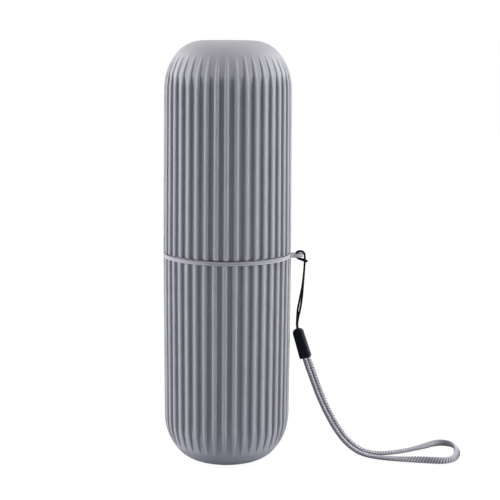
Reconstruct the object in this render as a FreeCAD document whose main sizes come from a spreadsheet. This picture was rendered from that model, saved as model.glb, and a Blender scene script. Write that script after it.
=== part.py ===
"""Toothbrush travel case: two ribbed cups that close into a capsule, with a wrist lanyard on a lug.

Millimetres. The axis of the case is Z, the base stands on z = 0, and the lug points along +X.
"""
import FreeCAD, Part
import math
import os
import re

import Sketcher
from FreeCAD import Placement, Rotation, Vector

doc = FreeCAD.newDocument("toothbrush_travel_case")

# Driving dimensions, in millimetres and degrees
SIZES = {
    # Case as a whole: radii are those of the rib crests
    "case_height": "211.5",
    "seam_radius": "32.0",
    "wall_draft": "0.5",
    "shoulder_radius": "27.0",
    "crown_radius": "16.5",
    "dome_turn": "42.0",
    # Walls of both cups
    "side_wall": "4.0",
    "end_wall": "2.4",
    # Ribs, cut as grooves
    "rib_count": "40",
    "groove_width": "2.35",
    "groove_depth": "1.7",
    "bevel_width": "1.0",
    "bevel_angle": "35.0",
    "upper_knee": "16.0",
    "upper_fade": "6.2",
    "lower_knee": "18.0",
    "lower_fade": "8.2",
    "upper_turn": "1.0",
    # Rim and neck of the lower cup
    "rim_top": "106.3",
    "rim_height": "2.25",
    "rim_proud": "0.15",
    "rim_edge": "0.5",
    "neck_height": "12.0",
    "neck_wall": "1.1",
    "neck_lead": "0.5",
    # Mouth of the upper cup
    "seam_gap": "0.4",
    "mouth_edge": "0.6",
    "neck_clearance": "0.25",
    # Lug for the cord
    "lug_hole_reach": "2.6",
    "lug_hole": "2.6",
    "lug_width": "6.6",
    "lug_flare": "1.0",
    "lug_thickness": "1.8",
    "lug_drop": "0.35",
    # Clamp: a tapered sleeve hanging askew from the cord
    "clamp_foot_x": "40.0",
    "clamp_foot_z": "52.8",
    "clamp_tilt": "17.1",
    "clamp_length": "15.3",
    "clamp_top_width": "5.7",
    "clamp_foot_width": "6.3",
    "clamp_depth": "6.0",
    "clamp_round": "2.2",
    "clamp_edge": "1.2",
    "clamp_wall": "0.6",
    "clamp_roof": "1.5",
    # Crimp inside the clamp
    "crimp_seat": "5.0",
    "crimp_length": "5.0",
    "crimp_clearance": "0.1",
    "crimp_edge": "0.4",
    # Cord and strap
    "cord_diameter": "0.7",
    "cord_spacing": "0.9",
    "cord_clearance": "0.25",
    "hitch_radius": "2.1",
    "strap_diameter": "2.2",
    "strap_spacing": "2.4",
    "strap_stagger": "0.9",
    # How far a cut runs past the surface it cuts
    "overrun": "2.0",
}

sheet = doc.addObject("Spreadsheet::Sheet", "Sizes")
for row, (alias, text) in enumerate(SIZES.items(), start=1):
    sheet.set(f"A{row}", alias)
    sheet.set(f"B{row}", text)
    sheet.setAlias(f"B{row}", alias)
doc.recompute()


def formula(text):
    """A sum of sheet names as an expression that any object can hold."""
    return re.sub(r"[a-z_]{4,}", lambda found: sheet_name(found.group()), text)


def sheet_name(word):
    """The sheet's cell for a size, and any other word as it is."""
    return f"Sizes.{word}" if word in SIZES else word


def value(text):
    """The present value of a sum of sheet names."""
    return float(sheet.evalExpression(formula(text)))


# Sizes worked out from the driving ones
DOME_DRAW = "(shoulder_radius - (shoulder_radius - crown_radius) * cos(dome_turn))"
END_RADIUS = "(seam_radius - wall_draft)"
FLAT_RADIUS = f"({END_RADIUS} - {DOME_DRAW})"
BORE_RADIUS = "(seam_radius - side_wall)"
BORE_END_RADIUS = f"({END_RADIUS} - side_wall)"
BORE_FLAT_RADIUS = f"({BORE_END_RADIUS} - {DOME_DRAW} + end_wall)"
TROUGH_DEPTH = "((groove_width / 2 + bevel_width) * tan(bevel_angle))"
RIM_RADIUS = "(seam_radius + rim_proud)"
RIM_BOTTOM = "(rim_top - rim_height)"
NECK_RADIUS = f"({BORE_RADIUS} + neck_wall)"
NECK_TOP = "(rim_top + neck_height)"
MOUTH_HEIGHT = "(rim_top + seam_gap)"
SOCKET_RADIUS = f"({NECK_RADIUS} + neck_clearance)"
LUG_HOLE_X = "(seam_radius + lug_hole_reach)"
LUG_BOTTOM = "(rim_top - lug_drop - lug_thickness)"
CAVITY_WIDTH = "(clamp_top_width - 2 * clamp_wall)"
CAVITY_DEPTH = "(clamp_depth - 2 * clamp_wall)"


def origin_plane(body, role):
    """One of the body's own origin planes."""
    return next(item for item in body.Origin.OriginFeatures if item.Role == role)


def sketch_on(body, name, role):
    """A new sketch of the body, flat on one of its origin planes."""
    sketch = body.newObject("Sketcher::SketchObject", name)
    sketch.AttachmentSupport = [(origin_plane(body, role), "")]
    sketch.MapMode = "FlatFace"
    return sketch


class Outline:
    """A closed outline of lines and arcs, drawn corner by corner and pinned to the sheet.
    In a sketch, an edge's start is its point 1, its end point 2 and its centre point 3."""

    def __init__(self, sketch):
        self.sketch = sketch
        self.corners = []
        self.pins = []
        self.arcs = {}

    def corner(self, x, y, known=None):
        """Add a corner given by two sums, or at a known place that other bonds settle."""
        self.pins.append((x, y))
        place = known or (value(x), value(y))
        self.corners.append(Vector(place[0], place[1], 0))
        return len(self.corners) - 1

    def arc(self, first, centre, anticlockwise):
        """Make the edge that leaves a corner an arc about a centre."""
        self.arcs[first] = (Vector(centre[0], centre[1], 0), anticlockwise)

    def draw(self, smooth=()):
        """Put the edges into the sketch, end to end and tangent at smooth corners, and pin the corners."""
        self.edges = []
        count = len(self.corners)
        for index in range(count):
            here, there = self.corners[index], self.corners[(index + 1) % count]
            self.edges.append(self.draw_edge(index, here, there))
        for index in range(count):
            before, after = self.edges[index - 1], self.edges[index]
            bond = "Tangent" if index in smooth else "Coincident"
            self.sketch.addConstraint(
                Sketcher.Constraint(bond, before[0], before[2], after[0], after[1]))
        for index, (x, y) in enumerate(self.pins):
            self.pin(index, "DistanceX", x)
            self.pin(index, "DistanceY", y)

    def draw_edge(self, index, here, there):
        """One line or arc; returns its number and which of its ends lie here and there."""
        if index not in self.arcs:
            return self.sketch.addGeometry(Part.LineSegment(here, there)), 1, 2
        centre, anticlockwise = self.arcs[index]
        first, last = (here, there) if anticlockwise else (there, here)
        circle = Part.Circle(centre, Vector(0, 0, 1), (here - centre).Length)
        start = math.atan2(first.y - centre.y, first.x - centre.x)
        end = math.atan2(last.y - centre.y, last.x - centre.x)
        number = self.sketch.addGeometry(Part.ArcOfCircle(circle, start, end))
        return (number, 1, 2) if anticlockwise else (number, 2, 1)

    def pin(self, index, kind, text):
        """Hold one coordinate of a corner at a sum of sheet names, or leave it to other bonds."""
        if text is None:
            return
        edge, position = self.edges[index][0], self.edges[index][1]
        if text == "0":
            axis = -2 if kind == "DistanceX" else -1
            self.sketch.addConstraint(Sketcher.Constraint("PointOnObject", edge, position, axis))
            return
        number = self.sketch.addConstraint(
            Sketcher.Constraint(kind, -1, 1, edge, position, value(text)))
        self.sketch.setExpression(f"Constraints[{number}]", formula(text))

    def radius(self, index, text):
        """Bind an arc's radius to a sum of sheet names."""
        number = self.sketch.addConstraint(
            Sketcher.Constraint("Radius", self.edges[index][0], value(text)))
        self.sketch.setExpression(f"Constraints[{number}]", formula(text))

    def level(self, kind, arc, corner):
        """Keep an arc's centre Horizontal or Vertical with a corner."""
        edge = self.edges[corner]
        self.sketch.addConstraint(
            Sketcher.Constraint(kind, self.edges[arc][0], 3, edge[0], edge[1]))


def dome(wall_radius, shoulder, crown):
    """Shape of a domed end: shoulder centre and joint, as distances out from the axis and in from the end."""
    turn = math.radians(value("dome_turn"))
    height = (shoulder - crown) * math.sin(turn) + crown
    centre = (wall_radius - shoulder, height)
    joint = (centre[0] + shoulder * math.cos(turn), height - shoulder * math.sin(turn))
    return centre, joint, height


def cup_section(body, end, way, mouth):
    """Half section of a cup. It starts on the axis at the closed end, runs up the outside,
    across the mouth and back down the inside. End is the height of the closed end, and way
    is + where the mouth lies above it."""
    sketch = sketch_on(body, f"{body.Name}_section", "XZ_Plane")
    outline = Outline(sketch)
    rising = way == "+"

    def height(distance):
        return value(f"{end} {way} {distance}")

    outer_centre, outer_joint, outer_height = dome(
        value(END_RADIUS), value("shoulder_radius"), value("crown_radius"))
    inner_centre, inner_joint, inner_height = dome(
        value(BORE_END_RADIUS), value("shoulder_radius - end_wall"), value("crown_radius - end_wall"))
    wall = value("end_wall")

    outline.corner("0", end)
    flat = outline.corner(FLAT_RADIUS, end)
    joint = outline.corner(None, None, (outer_joint[0], height(outer_joint[1])))
    shoulder = outline.corner(END_RADIUS, None, (value(END_RADIUS), height(outer_height)))
    outline.arc(flat, (value(FLAT_RADIUS), height(value("crown_radius"))), rising)
    outline.arc(joint, (outer_centre[0], height(outer_centre[1])), rising)

    rounds = []
    for x, y, edge_centre in mouth:
        here = outline.corner(x, y)
        if edge_centre:
            outline.arc(here, (value(edge_centre[0]), value(edge_centre[1])), rising)
            rounds.append((here, edge_centre[2]))

    inner_shoulder = outline.corner(
        BORE_END_RADIUS, None, (value(BORE_END_RADIUS), height(wall + inner_height)))
    inner_joint_here = outline.corner(None, None, (inner_joint[0], height(wall + inner_joint[1])))
    inner_flat = outline.corner(BORE_FLAT_RADIUS, f"{end} {way} end_wall")
    outline.corner("0", f"{end} {way} end_wall")
    outline.arc(inner_shoulder, (inner_centre[0], height(wall + inner_centre[1])), not rising)
    outline.arc(inner_joint_here, (value(BORE_FLAT_RADIUS), height(value("crown_radius"))), not rising)

    outline.draw(smooth=(joint, inner_joint_here))
    outline.radius(flat, "crown_radius")
    outline.radius(joint, "shoulder_radius")
    outline.radius(inner_shoulder, "shoulder_radius - end_wall")
    outline.radius(inner_joint_here, "crown_radius - end_wall")
    outline.level("Vertical", flat, flat)
    outline.level("Horizontal", joint, shoulder)
    outline.level("Horizontal", inner_shoulder, inner_shoulder)
    outline.level("Vertical", inner_joint_here, inner_flat)
    for here, edge in rounds:
        outline.radius(here, edge)
    doc.recompute()

    shell = body.newObject("PartDesign::Revolution", f"{body.Name}_shell")
    shell.Profile = sketch
    shell.ReferenceAxis = (sketch, ["V_Axis"])
    shell.setExpression("Angle", "360")
    doc.recompute()


def groove_section(body, name, depth, end, way, knee, fade, mouth_height):
    """Side view of a groove: along the wall to the knee, then up a ramp that runs out on the dome."""
    sketch = sketch_on(body, name, "XZ_Plane")
    outline = Outline(sketch)
    outline.corner(f"seam_radius - {depth}", mouth_height)
    outline.corner(f"{END_RADIUS} - {depth}", f"{end} {way} {knee}")
    outline.corner(
        f"{FLAT_RADIUS} + sqrt(crown_radius ^ 2 - (crown_radius - {fade}) ^ 2)", f"{end} {way} {fade}")
    outline.corner(f"seam_radius + overrun + {depth}", f"{end} {way} {fade}")
    outline.corner(f"seam_radius + overrun + {depth}", mouth_height)
    outline.draw()
    # The first groove lies half a pitch from the lug, so that the lug stands on a rib
    sketch.setExpression("AttachmentOffset.Rotation.Axis.x", "0")
    sketch.setExpression("AttachmentOffset.Rotation.Axis.y", "1")
    sketch.setExpression("AttachmentOffset.Rotation.Axis.z", "0")
    sketch.setExpression("AttachmentOffset.Rotation.Angle", formula("180 / rib_count"))
    doc.recompute()
    return sketch


def cup_grooves(body, end, way, knee, fade, mouth_height):
    """Grooves between the ribs. Each is a slot, and a shallower trough across it bevels the ribs' edges."""
    slot_section = groove_section(
        body, f"{body.Name}_slot_section", "groove_depth", end, way, knee, fade, mouth_height)
    slot = body.newObject("PartDesign::Pocket", f"{body.Name}_slot")
    slot.Profile = slot_section
    slot.SideType = "Symmetric"
    slot.setExpression("Length", formula("groove_width"))
    doc.recompute()

    trough_section = groove_section(
        body, f"{body.Name}_trough_section", TROUGH_DEPTH, end, way, knee, fade, mouth_height)
    trough = body.newObject("PartDesign::Pocket", f"{body.Name}_trough")
    trough.Profile = trough_section
    trough.SideType = "Two sides"
    for length, taper in (("Length", "TaperAngle"), ("Length2", "TaperAngle2")):
        trough.setExpression(length, formula("groove_width / 2 + bevel_width + overrun / 4"))
        trough.setExpression(taper, formula("-bevel_angle"))
    doc.recompute()

    ribs = body.newObject("PartDesign::PolarPattern", f"{body.Name}_ribs")
    ribs.Originals = [slot, trough]
    ribs.Axis = (slot_section, ["V_Axis"])
    ribs.setExpression("Angle", "360")
    ribs.setExpression("Occurrences", formula("rib_count"))
    body.Tip = ribs
    doc.recompute()


def lower_cup():
    """Lower cup: ribbed shell, smooth rim, lug and the neck that the upper cup slides over."""
    body = doc.addObject("PartDesign::Body", "lower_cup")
    edge_centre = (f"{RIM_RADIUS} - rim_edge", "rim_top - rim_edge", "rim_edge")
    cup_section(body, "0", "+", [
        ("seam_radius", RIM_BOTTOM, None),
        (RIM_RADIUS, RIM_BOTTOM, None),
        (RIM_RADIUS, "rim_top - rim_edge", edge_centre),
        (f"{RIM_RADIUS} - rim_edge", "rim_top", None),
        (NECK_RADIUS, "rim_top", None),
        (NECK_RADIUS, f"{NECK_TOP} - neck_lead", None),
        (f"{NECK_RADIUS} - neck_lead", NECK_TOP, None),
        (BORE_RADIUS, NECK_TOP, None),
    ])
    cup_grooves(body, "0", "+", "lower_knee", "lower_fade", RIM_BOTTOM)

    sketch = sketch_on(body, "lug_outline", "XY_Plane")
    outline = Outline(sketch)
    root = f"({NECK_RADIUS} + seam_radius) / 2"
    flare_end = f"{RIM_RADIUS} + lug_flare"
    half, wide = "lug_width / 2", "(lug_width / 2 + lug_flare)"
    outline.corner(root, f"-{wide}")
    outline.corner(RIM_RADIUS, f"-{wide}")
    outline.corner(flare_end, f"-({half})")
    tip = outline.corner(LUG_HOLE_X, f"-({half})")
    outline.corner(LUG_HOLE_X, half)
    outline.corner(flare_end, half)
    outline.corner(RIM_RADIUS, wide)
    outline.corner(root, wide)
    outline.arc(tip, (value(LUG_HOLE_X), 0), True)
    outline.draw()
    outline.level("Vertical", tip, tip)
    hole = sketch.addGeometry(
        Part.Circle(Vector(value(LUG_HOLE_X), 0, 0), Vector(0, 0, 1), value("lug_hole / 2")))
    arc = outline.edges[tip][0]
    sketch.addConstraint(Sketcher.Constraint("Coincident", hole, 3, arc, 3))
    number = sketch.addConstraint(Sketcher.Constraint("Radius", hole, value("lug_hole / 2")))
    sketch.setExpression(f"Constraints[{number}]", formula("lug_hole / 2"))
    sketch.setExpression("AttachmentOffset.Base.z", formula(LUG_BOTTOM))
    doc.recompute()

    lug = body.newObject("PartDesign::Pad", "lug")
    lug.Profile = sketch
    lug.setExpression("Length", formula("lug_thickness"))
    doc.recompute()
    return body


def upper_cup():
    """Upper cup: ribbed shell with a counterbore that seats on the top of the neck."""
    body = doc.addObject("PartDesign::Body", "upper_cup")
    edge_centre = ("seam_radius - mouth_edge", f"{MOUTH_HEIGHT} + mouth_edge", "mouth_edge")
    cup_section(body, "case_height", "-", [
        ("seam_radius", f"{MOUTH_HEIGHT} + mouth_edge", edge_centre),
        ("seam_radius - mouth_edge", MOUTH_HEIGHT, None),
        (SOCKET_RADIUS, MOUTH_HEIGHT, None),
        (SOCKET_RADIUS, NECK_TOP, None),
        (BORE_RADIUS, NECK_TOP, None),
    ])
    cup_grooves(body, "case_height", "-", "upper_knee", "upper_fade", f"{MOUTH_HEIGHT} - overrun")
    # The round fit lets the cup sit turned, here by less than a rib
    body.setExpression("Placement.Rotation.Angle", formula("upper_turn"))
    return body


def clamp_place(lift):
    """Placement of the clamp's own frame, lifted along its axis: foot centre at the origin, axis up."""
    tilt = Rotation(Vector(0, 1, 0), -value("clamp_tilt"))
    foot = Vector(value("clamp_foot_x"), 0, value("clamp_foot_z"))
    return Placement(foot + tilt.multVec(Vector(0, 0, lift)), tilt)


def rectangle(body, name, width, depth):
    """Sketch of a rectangle centred on the body's axis, flat on its foot."""
    sketch = sketch_on(body, name, "XY_Plane")
    outline = Outline(sketch)
    for across, along in (("-", "-"), ("", "-"), ("", ""), ("-", "")):
        outline.corner(f"{across}({width}) / 2", f"{along}({depth}) / 2")
    outline.draw()
    doc.recompute()
    return sketch


def cut_upwards(body, name, sketch, length):
    """Pocket from the foot upwards."""
    pocket = body.newObject("PartDesign::Pocket", name)
    pocket.Profile = sketch
    pocket.Reversed = True
    pocket.setExpression("Length", formula(length))
    doc.recompute()


def cord_clamp():
    """Clamp: sleeve with a rounded top and eased edges, open below, with a slot for the cord above."""
    body = doc.addObject("PartDesign::Body", "cord_clamp")
    sketch = sketch_on(body, "clamp_front", "XZ_Plane")
    outline = Outline(sketch)
    foot, top = "clamp_foot_width / 2", "clamp_top_width / 2"
    side = f"({top} - clamp_round)"
    spring = value("clamp_length - clamp_round")
    outline.corner(f"-{foot}", "0")
    outline.corner(foot, "0")
    right = outline.corner(None, None, (value(top), spring))
    crown = outline.corner(side, "clamp_length")
    left = outline.corner(f"-{side}", "clamp_length")
    fall = outline.corner(None, None, (-value(top), spring))
    outline.arc(right, (value(side), spring), True)
    outline.arc(left, (-value(side), spring), True)
    outline.draw(smooth=(right, fall))
    for index in (right, left):
        outline.radius(index, "clamp_round")
    outline.level("Vertical", right, crown)
    outline.level("Vertical", left, left)
    doc.recompute()

    sleeve = body.newObject("PartDesign::Pad", "sleeve")
    sleeve.Profile = sketch
    sleeve.SideType = "Symmetric"
    sleeve.setExpression("Length", formula("clamp_depth"))
    doc.recompute()

    eased = []
    for number, edge in enumerate(sleeve.Shape.Edges, start=1):
        middle = edge.valueAt((edge.FirstParameter + edge.LastParameter) / 2)
        on_face = math.isclose(abs(middle.y), value("clamp_depth / 2"), rel_tol=1e-6)
        if on_face and middle.z > value("clamp_edge"):
            eased.append(f"Edge{number}")
    easing = body.newObject("PartDesign::Fillet", "eased_edges")
    easing.Base = (sleeve, eased)
    easing.setExpression("Radius", formula("clamp_edge"))
    doc.recompute()

    cavity = rectangle(body, "cavity_outline", CAVITY_WIDTH, CAVITY_DEPTH)
    cut_upwards(body, "cavity", cavity, "clamp_length - clamp_roof")
    slot = rectangle(
        body, "slot_outline", "cord_diameter + 2 * cord_clearance",
        "cord_spacing + cord_diameter + 2 * cord_clearance")
    cut_upwards(body, "cord_slot", slot, "clamp_length + overrun")
    body.Placement = clamp_place(0)
    return body


def clamp_crimp():
    """Crimp: pressed metal block in the clamp that holds the ends of cord and strap."""
    body = doc.addObject("PartDesign::Body", "clamp_crimp")
    sketch = rectangle(
        body, "crimp_outline",
        f"{CAVITY_WIDTH} - 2 * crimp_clearance", f"{CAVITY_DEPTH} - 2 * crimp_clearance")
    block = body.newObject("PartDesign::Pad", "crimp_block")
    block.Profile = sketch
    block.setExpression("Length", formula("crimp_length"))
    doc.recompute()
    upright = [
        f"Edge{number}" for number, edge in enumerate(block.Shape.Edges, start=1)
        if abs(edge.tangentAt(edge.FirstParameter).z) > abs(edge.tangentAt(edge.FirstParameter).x)
        and abs(edge.tangentAt(edge.FirstParameter).z) > abs(edge.tangentAt(edge.FirstParameter).y)]
    bevel = body.newObject("PartDesign::Chamfer", "crimp_bevel")
    bevel.Base = (block, upright)
    bevel.setExpression("Size", formula("crimp_edge"))
    doc.recompute()
    body.Placement = clamp_place(value("crimp_seat"))
    return body


def bent_path(name, points):
    """Straight runs joined by tangent arcs, each arc as large as its two runs allow."""
    arc_share = 0.45
    edges, radii = [], []
    last = points[0]
    for before, here, after in zip(points, points[1:], points[2:]):
        back, ahead = (before - here), (after - here)
        run = min(back.Length, ahead.Length)
        half_turn = (math.pi - back.getAngle(ahead)) / 2
        setback = arc_share * run
        radius = setback / math.tan(half_turn)
        back.normalize()
        ahead.normalize()
        start, end = here + back * setback, here + ahead * setback
        inward = back + ahead
        inward.normalize()
        middle = here + inward * (radius / math.cos(half_turn) - radius)
        edges.append(Part.LineSegment(last, start).toShape())
        edges.append(Part.Arc(start, middle, end).toShape())
        radii.append(radius)
        last = end
    edges.append(Part.LineSegment(last, points[-1]).toShape())
    path = doc.addObject("Part::Feature", f"{name}_path")
    path.Shape = Part.Wire(edges)
    print(name, "length", round(path.Shape.Length, 1), "radii", [round(radius, 2) for radius in radii])
    return path


def tube(name, points, diameter):
    """Round tube along a bent path, square to it at both ends."""
    path = bent_path(name, points)
    section = doc.addObject("Part::Circle", f"{name}_section")
    section.setExpression("Radius", formula(f"{diameter} / 2"))
    section.Placement = Placement(points[0], Rotation(Vector(0, 0, 1), points[1] - points[0]))
    sweep = doc.addObject("Part::Sweep", name)
    sweep.Sections = [section]
    sweep.Spine = (path, [])
    sweep.Solid = True
    doc.recompute()
    expected = math.pi * (value(diameter) / 2) ** 2 * path.Shape.Length
    if not math.isclose(sweep.Shape.Volume, expected, rel_tol=0.01):
        raise RuntimeError(f"{name}: volume {sweep.Shape.Volume} instead of {expected}")
    return sweep


def in_clamp(across, deep, lift):
    """A point given in the clamp's own frame."""
    return clamp_place(0).multVec(Vector(across, deep, lift))


def cord_loop():
    """Thin cord from the crimp up to the lug, over its bar, down through the hole, out round
    its own two strands and back the same way."""
    bar_x = value(f"{LUG_HOLE_X} + (lug_hole / 2 + lug_width / 2) / 2")
    bar_z = value(f"{LUG_BOTTOM} + lug_thickness / 2")
    reach = value("hitch_radius")
    spread = value("cord_spacing / 2")
    ends_at = value("crimp_seat + crimp_length")
    # Front strand, then back strand, from the clamp upwards
    front_strand = [(35.35, 68.3), (35.55, 74.7), (36.35, 81.1), (37.6, 87.6), (38.35, 94.5)]
    back_strand = [(35.35, 68.3), (36.2, 74.7), (37.4, 80.8), (38.05, 87.2), (38.35, 94.2)]
    # Hitch, from the standing strand over the bar to the bight: out, to the side and up,
    # as shares of the hitch radius and of half the strand spacing
    hitch_shares = [
        (0.97, 1.0, -1.95), (1.0, 1.0, 1.0), (-1.0, 1.0, 1.0), (-0.98, 1.0, -0.67),
        (0.38, 2.2, -1.05), (1.24, 3.0, -1.38)]
    bight_shares = (1.5, 0.0, -1.48)

    def strand(points, side):
        route = [in_clamp(0, side * spread, ends_at)]
        route += [Vector(x, side * spread, z) for x, z in points]
        route += [
            Vector(bar_x + out * reach, side * aside * spread, bar_z + up * reach)
            for out, aside, up in hitch_shares]
        return route

    out, aside, up = bight_shares
    bight = Vector(bar_x + out * reach, aside * spread, bar_z + up * reach)
    route = strand(front_strand, -1) + [bight] + strand(back_strand, 1)[::-1]
    return tube("cord_loop", route, "cord_diameter")


def wrist_strap():
    """Braided strap from the crimp down to the floor, round one open loop and back up."""
    side = value("strap_spacing / 2")
    shift = value("strap_stagger / 2")
    near_end = in_clamp(-shift, -side, value("crimp_seat"))
    far_end = in_clamp(shift, side, value("crimp_seat"))
    # Near strand downwards, loop on the floor, far strand upwards
    route = [
        (40.5, -1.2, 50.4), (43.5, -1.2, 42.4), (46.9, -1.3, 33.2), (51.2, -1.4, 24.0),
        (56.2, -1.5, 15.4), (61.9, -1.6, 8.5), (68.6, -1.5, 3.5), (76.2, -1.6, 1.5),
        (86.0, -4.2, 1.5), (97.5, -5.6, 1.5), (110.2, -8.3, 1.5), (116.6, -4.2, 1.5),
        (119.2, 6.5, 1.5), (119.6, 16.5, 1.5), (117.3, 24.0, 1.5), (110.0, 25.9, 1.5),
        (102.6, 18.8, 1.5), (93.6, 11.2, 1.5), (84.4, 6.0, 1.5), (76.3, 3.6, 1.6),
        (68.9, 2.2, 3.8), (62.3, 1.7, 8.8), (57.0, 1.5, 15.5), (52.3, 1.4, 24.0),
        (48.1, 1.3, 33.0), (44.9, 1.2, 42.0), (41.9, 1.2, 50.2)]
    points = [near_end] + [Vector(*point) for point in route] + [far_end]
    return tube("wrist_strap", points, "strap_diameter")


pieces = [lower_cup(), upper_cup(), cord_clamp(), clamp_crimp(), cord_loop(), wrist_strap()]
doc.recompute()

for item in doc.Objects:
    if "Invalid" in item.State or "Error" in item.State:
        raise RuntimeError(f"{item.Name} failed: {item.State}")
for piece in pieces:
    if piece.Shape.isNull() or not piece.Shape.isValid() or len(piece.Shape.Solids) != 1:
        raise RuntimeError(f"{piece.Label} is not one valid solid")

os.makedirs("parts", exist_ok=True)
for piece in pieces:
    piece.Shape.exportStep(f"parts/{piece.Label}.step")
    print(piece.Label, round(piece.Shape.Volume, 1), "cubic mm")
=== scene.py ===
import math

import bmesh
import bpy
from mathutils import Matrix, Vector


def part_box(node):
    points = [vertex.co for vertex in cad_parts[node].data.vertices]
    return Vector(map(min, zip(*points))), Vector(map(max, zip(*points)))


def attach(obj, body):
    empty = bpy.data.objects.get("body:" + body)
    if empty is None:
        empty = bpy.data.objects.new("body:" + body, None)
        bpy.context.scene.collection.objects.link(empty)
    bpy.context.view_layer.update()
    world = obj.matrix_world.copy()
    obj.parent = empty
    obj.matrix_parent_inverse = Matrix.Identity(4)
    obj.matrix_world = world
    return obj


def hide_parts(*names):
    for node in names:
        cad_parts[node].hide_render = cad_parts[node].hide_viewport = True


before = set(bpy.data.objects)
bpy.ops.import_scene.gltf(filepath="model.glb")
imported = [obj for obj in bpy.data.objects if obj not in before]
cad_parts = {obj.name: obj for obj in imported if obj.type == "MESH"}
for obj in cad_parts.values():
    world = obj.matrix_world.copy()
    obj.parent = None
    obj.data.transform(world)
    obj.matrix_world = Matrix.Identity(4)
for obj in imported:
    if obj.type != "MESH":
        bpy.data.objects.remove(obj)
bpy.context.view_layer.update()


# Lower cup: one injection moulding in grey polypropylene. Forty ribs run up its wall and die
# out on the domed base. A smooth rim closes the grooves at the top, the lug for the lanyard
# grows out of that rim, and the thin neck above it is what the upper cup slides over.
case_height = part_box("upper_cup")[1].z
neck_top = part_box("lower_cup")[1].z
rim_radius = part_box("lower_cup")[1].y
seam_radius = rim_radius
end_radius = seam_radius - 0.0005
shoulder_radius = 0.0270
crown_radius = 0.0165
dome_turn = math.radians(42)
dome_height = (shoulder_radius - crown_radius) * math.sin(dome_turn) + crown_radius
dome_draw = shoulder_radius - (shoulder_radius - crown_radius) * math.cos(dome_turn)
side_wall = 0.00415
end_wall = 0.0024
bore_radius = seam_radius - side_wall
rib_count = 40
rib_pitch = math.tau / rib_count
groove_width = 0.00235
groove_depth = 0.0017
crest_round = 0.0017
crest_turn = math.radians(38)
rib_edge = 0.0004
flank_lean = math.radians(4)
groove_fillet = 0.00028
edge_guard = 0.00012
floor_ease = 0.00015
ramp_hollow = 0.0009
knee_span = 0.0012
knee_ease = 0.00025
weld_distance = 0.000004
sharp_angle = math.radians(38)
rim_top = 0.1063
rim_bottom = rim_top - 0.00185
rim_edge = 0.0005
rim_under_edge = 0.00018
rim_cove = 0.00030
rim_lip = 0.0007
rim_sink = 0.0006
neck_radius = bore_radius + 0.0011
neck_lead = 0.0005
lower_knee = 0.0180
lower_fade = 0.0082


def dome_radius(height, wall_radius, thickness=0.0):
    """Distance from the axis of a domed end's surface at a height above its flat."""
    shoulder, crown = shoulder_radius - thickness, crown_radius - thickness
    top = dome_height - thickness
    joint = top - shoulder * math.sin(dome_turn)
    if height >= top:
        return wall_radius
    if height > joint:
        return wall_radius - shoulder + math.sqrt(shoulder ** 2 - (top - height) ** 2)
    flat = wall_radius - dome_draw + thickness
    return flat + math.sqrt(max(0.0, crown ** 2 - (crown - height) ** 2))


def dome_heights(thickness=0.0):
    """Heights of the rows on a domed end: evenly turned steps of the crown, then of the shoulder."""
    shoulder, crown = shoulder_radius - thickness, crown_radius - thickness
    top = dome_height - thickness
    crown_steps, shoulder_steps = 11, 9
    crown_turn = math.pi / 2 - dome_turn
    heights = [crown * (1 - math.cos(crown_turn * step / crown_steps)) for step in range(crown_steps)]
    heights += [
        top - shoulder * math.sin(dome_turn * (1 - step / shoulder_steps))
        for step in range(shoulder_steps + 1)]
    return heights


def groove_at(height, knee, fade, wall_end):
    """Depth of a groove: it deepens from the fade to the knee with a slight hollow, and past a soft knee
    its floor follows the wall's draft."""
    radius = dome_radius(height, end_radius)
    knee_depth = dome_radius(knee, end_radius) - end_radius + groove_depth
    share = (height - fade) / (knee - fade)
    ramp = knee_depth * share + ramp_hollow * max(0.0, share * (1 - share))
    floor = end_radius - groove_depth + (seam_radius - end_radius) * (height - knee) / (wall_end - knee)
    straight = radius - floor
    near = max(0.0, knee_ease - abs(straight - ramp))
    return max(ramp, straight) + near ** 2 / (4 * knee_ease)


def ribbed_rows(knee, fade, wall_end):
    """Rows of a cup's outside, from the pole to the end of its wall: distance from the axis,
    height above the closed end, and how deep the groove is there."""
    ramp_steps = 5
    heights = dome_heights() + [fade + (knee - fade) * step / ramp_steps for step in range(ramp_steps)]
    heights += [knee + knee_span * share for share in (-1.0, -0.5, 0.0, 0.5, 1.0)]
    rows = [(0.0, 0.0, 0.0), (dome_radius(0.0, end_radius) / 2, 0.0, 0.0)]
    for height in sorted(heights):
        radius = dome_radius(height, end_radius)
        rows.append((radius, height, groove_at(height, knee, fade, wall_end) if height > fade else 0.0))
    middle = (dome_height + wall_end) / 2
    rows.append(((end_radius + seam_radius) / 2, middle, groove_depth))
    rows.append((seam_radius, wall_end, groove_depth))
    return rows


def bored_rows(mouth):
    """Rows of a cup's smooth inside, from its mouth down to the pole of the closed end."""
    bore_end = end_radius - side_wall
    heights = dome_heights(end_wall)
    rows = [(bore_radius, mouth, 0.0)]
    rows += [(dome_radius(height, bore_end, end_wall), height + end_wall, 0.0) for height in heights[::-2]]
    rows.append((dome_radius(0.0, bore_end, end_wall), end_wall, 0.0))
    return rows + [(0.0, end_wall, 0.0)]


def quarter_turn(radius, height, size, rising, steps=4):
    """Rows of a rounded edge about a centre: from the outer side to the top, or to the bottom
    if not rising."""
    turns = [math.pi / 2 * step / steps for step in range(steps + 1)]
    lift = size if rising else -size
    return [(radius + size * math.cos(turn), height + lift * math.sin(turn)) for turn in turns]


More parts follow.
